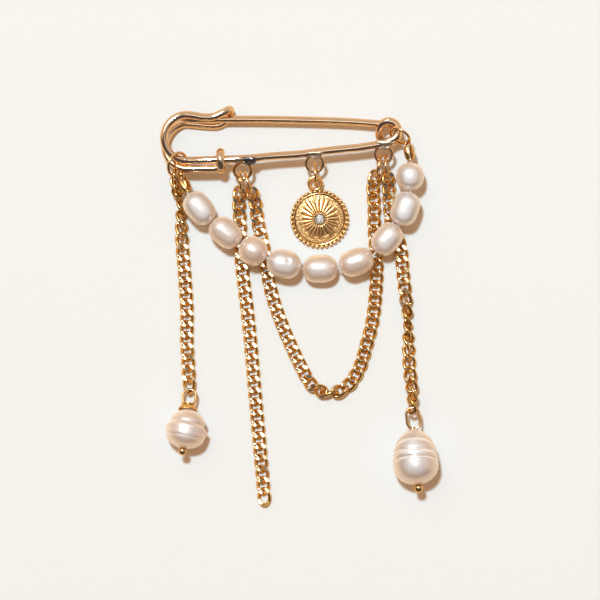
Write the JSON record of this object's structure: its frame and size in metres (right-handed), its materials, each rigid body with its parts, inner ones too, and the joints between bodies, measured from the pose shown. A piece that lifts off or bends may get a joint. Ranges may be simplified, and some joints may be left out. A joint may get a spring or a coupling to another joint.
{
  "type": "pearl brooch",
  "caption": "Gold kilt-pin brooch with curb chains, a pearl string, pearl drops and a small sunburst medallion.",
  "frame": {"origin": "middle of the bounding box's bottom face, on the surface it lies on", "axes": "+X along the pin from its head to its coil, +Y up the brooch towards the pin, +Z out of its front"},
  "size_m": [0.057, 0.0819, 0.0093],
  "materials": {
    "pin_gold": "polished",
    "chain_gold": "polished",
    "pearl": "pearly",
    "thread": "twisted",
    "stone": "faceted"
  },
  "bodies": {
    "frame": {"pin_frame": "pin_gold", "collar": "pin_gold", "left_ring": "chain_gold", "right_ring": "chain_gold", "ring_long_chain": "chain_gold", "ring_swag_left": "chain_gold", "ring_medallion": "chain_gold", "ring_swag_right": "chain_gold", "ring_right_chain": "chain_gold", "left_bead_tip": "chain_gold", "right_bead_tip": "chain_gold", "pearl_1": "pearl", "pearl_2": "pearl", "pearl_3": "pearl", "pearl_4": "pearl", "pearl_5": "pearl", "pearl_6": "pearl", "pearl_7": "pearl", "pearl_8": "pearl", "pearl_9": "pearl", "thread": "thread", "chain_left": "chain_gold", "chain_long": "chain_gold", "chain_swag": "chain_gold", "chain_right": "chain_gold", "medallion": "chain_gold", "medallion_stone": "stone", "drop_ring_left": "chain_gold", "headpin_left": "chain_gold", "bead_cap": "chain_gold", "drop_pearl_small": "pearl", "headpin_right": "chain_gold", "drop_pearl_large": "pearl"},
    "needle": {"pin_stem": "pin_gold"}
  },
  "joints": [
    {"name": "needle_hinge", "type": "hinge", "parent": "frame", "child": "needle", "pos_m": [0.0182, 0.0352, 0.00245], "axis": [0, 0, 1], "range_deg": [0, 5], "stiffness_Nm_per_rad": 0.25, "springref_deg": -17.19}
  ]
}
